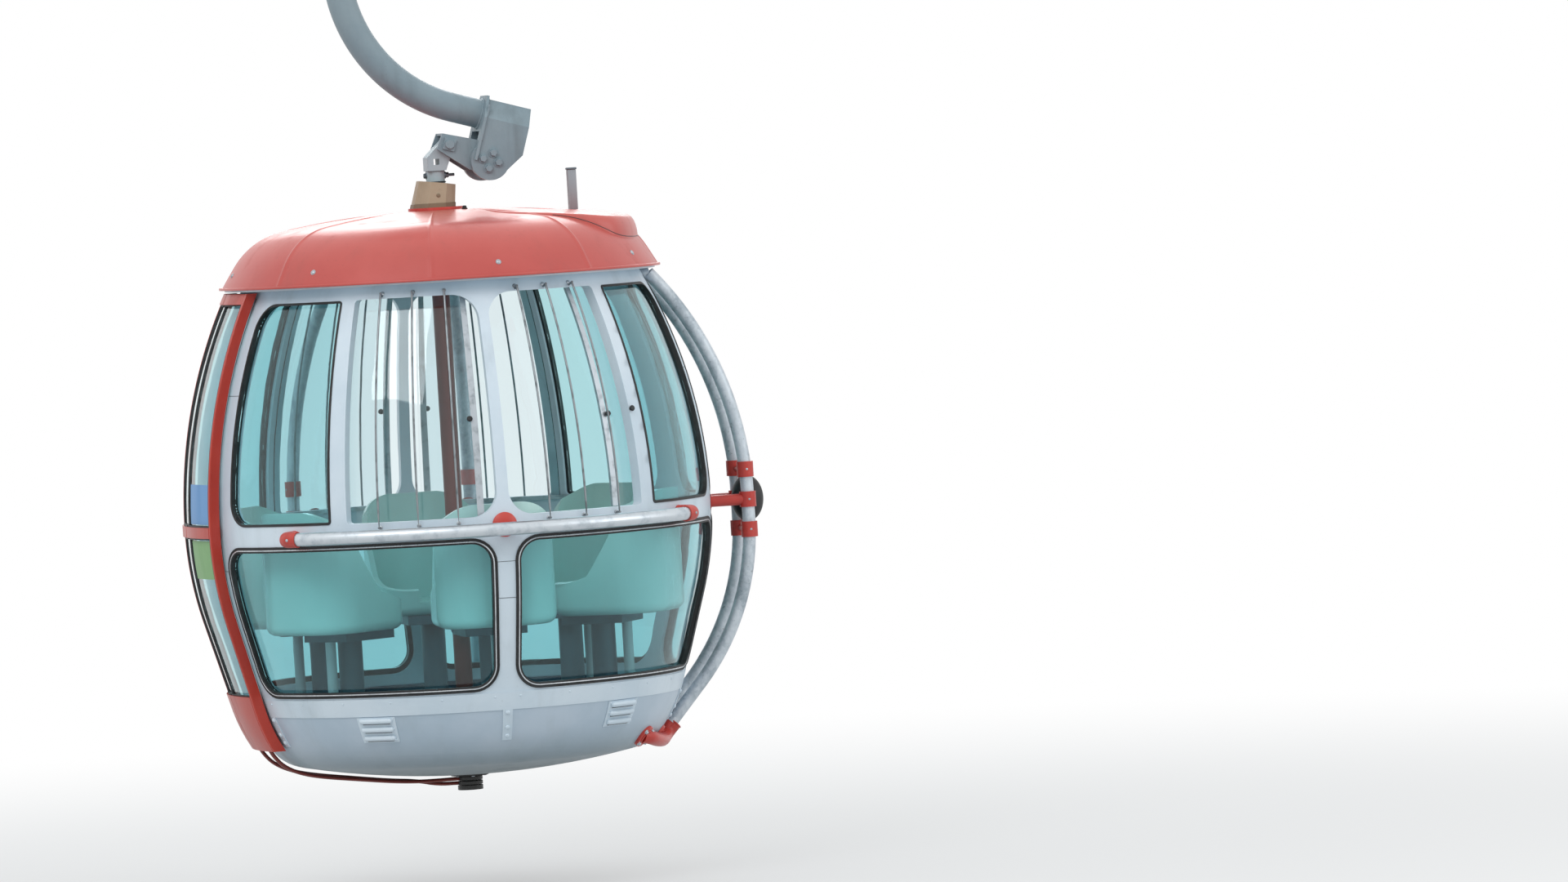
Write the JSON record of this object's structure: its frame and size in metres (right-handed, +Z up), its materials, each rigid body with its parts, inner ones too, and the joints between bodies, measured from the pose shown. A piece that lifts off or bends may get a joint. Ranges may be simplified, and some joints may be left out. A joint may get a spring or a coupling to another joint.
{
  "type": "cable car cabin",
  "caption": "Globe-shaped passenger cabin with curved glazing, guard pipes, sliding door leaves and tub seats, on a swan-neck hanger with a rope grip.",
  "frame": {"origin": "on the rope's axis, halfway along the grip's jaws", "axes": "+Z up, Y along the rope, the door faces -X and the rubber buffer +X"},
  "size_m": [2.19, 2.1389, 5.1452],
  "materials": {
    "roof_red": "gloss",
    "fitting_red": "gloss paint",
    "door_red": "gloss paint",
    "arm_red": "gloss paint, worn",
    "body_white": "satin paint",
    "tinted_glass": "polished",
    "clear_glass": "polished",
    "seal_black": "satin",
    "channel_metal": "satin",
    "bar_steel": "polished",
    "pipe_galvanised": "dull zinc",
    "post_grey": "satin paint",
    "seat_mint": "gloss",
    "seat_metal": "satin paint",
    "tube_white": "gloss paint",
    "floor_blue": "matt",
    "pole_brown": "gloss paint",
    "block_tan": "matt",
    "hanger_grey": "satin paint",
    "hub_dark": "greasy",
    "grip_grey": "painted",
    "spring_yellow": "gloss paint",
    "plate_steel": "worn",
    "wheel_black": "matt"
  },
  "bodies": {
    "grip": {"grip_body": "grip_grey", "grip_jaw": "grip_grey", "grip_axles": "grip_grey", "spring_cans": "spring_yellow", "friction_plate": "plate_steel"},
    "near_wheel": {"wheel_near": "wheel_black"},
    "far_wheel": {"wheel_far": "wheel_black"},
    "hanger": {"hanger_head": "hanger_grey", "hanger_mast": "hanger_grey", "hanger_neck": "hanger_grey", "suspension_housing": "hanger_grey", "lever": "hanger_grey"},
    "cabin": {"hull": "body_white", "floor": "floor_blue", "hull_plates": "body_white", "side_frame_a": "body_white", "side_frame_b": "body_white", "fixed_panes_a": "tinted_glass", "fixed_panes_b": "tinted_glass", "end_frame": "body_white", "end_panes": "tinted_glass", "window_seals": "seal_black", "door_portal": "body_white", "window_rails": "channel_metal", "sliding_panes_a": "clear_glass", "sliding_panes_b": "clear_glass", "pane_stiles": "channel_metal", "window_bars": "bar_steel", "roof_shell": "roof_red", "cantrail": "body_white", "roof_cover": "roof_red", "roof_post": "post_grey", "door_hub": "hub_dark", "belt_pipe": "pipe_galvanised", "belt_fittings": "fitting_red", "end_pipes": "pipe_galvanised", "end_fittings": "fitting_red", "far_pipes": "pipe_galvanised", "far_fittings": "fitting_red", "buffer_mount": "fitting_red", "buffer": "seal_black", "seats_a": "seat_mint", "seats_b": "seat_mint", "seat_columns": "seat_metal", "seat_brackets": "seat_metal", "seat_tubes": "tube_white", "middle_pole": "pole_brown", "roof_mount": "block_tan", "mount_ring": "fitting_red", "clevis": "hanger_grey"},
    "leaf_a": {"door_leaf_a": "door_red", "door_glass_a": "tinted_glass", "door_rubber_a": "seal_black", "door_arm_a": "arm_red"},
    "leaf_b": {"door_leaf_b": "door_red", "door_glass_b": "tinted_glass", "door_rubber_b": "seal_black", "door_arm_b": "arm_red"}
  },
  "joints": [
    {"name": "near_wheel_spin", "type": "hinge", "parent": "grip", "child": "near_wheel", "pos_m": [-0.356, -0.165, 0.02], "axis": [1, 0, 0], "continuous": true},
    {"name": "far_wheel_spin", "type": "hinge", "parent": "grip", "child": "far_wheel", "pos_m": [-0.356, 0.165, 0.02], "axis": [1, 0, 0], "continuous": true},
    {"name": "hanger_swing", "type": "hinge", "parent": "grip", "child": "hanger", "pos_m": [-0.215, 0, -0.15], "axis": [1, 0, 0], "range_deg": [-30, 30]},
    {"name": "cabin_swing", "type": "hinge", "parent": "hanger", "child": "cabin", "pos_m": [0.053, 0, -2.581], "axis": [0, 1, 0], "range_deg": [-10, 10]},
    {"name": "door_slide_a", "type": "hinge", "parent": "cabin", "child": "leaf_a", "pos_m": [0, 0, -4.9], "axis": [0, 0, 1], "range_deg": [0, 16.5]},
    {"name": "door_slide_b", "type": "hinge", "parent": "cabin", "child": "leaf_b", "pos_m": [0, 0, -4.9], "axis": [0, 0, 1], "range_deg": [-16.5, 0]}
  ],
  "couplings": [
    {"joint": "door_slide_b", "follows": "door_slide_a", "ratio": -1}
  ]
}
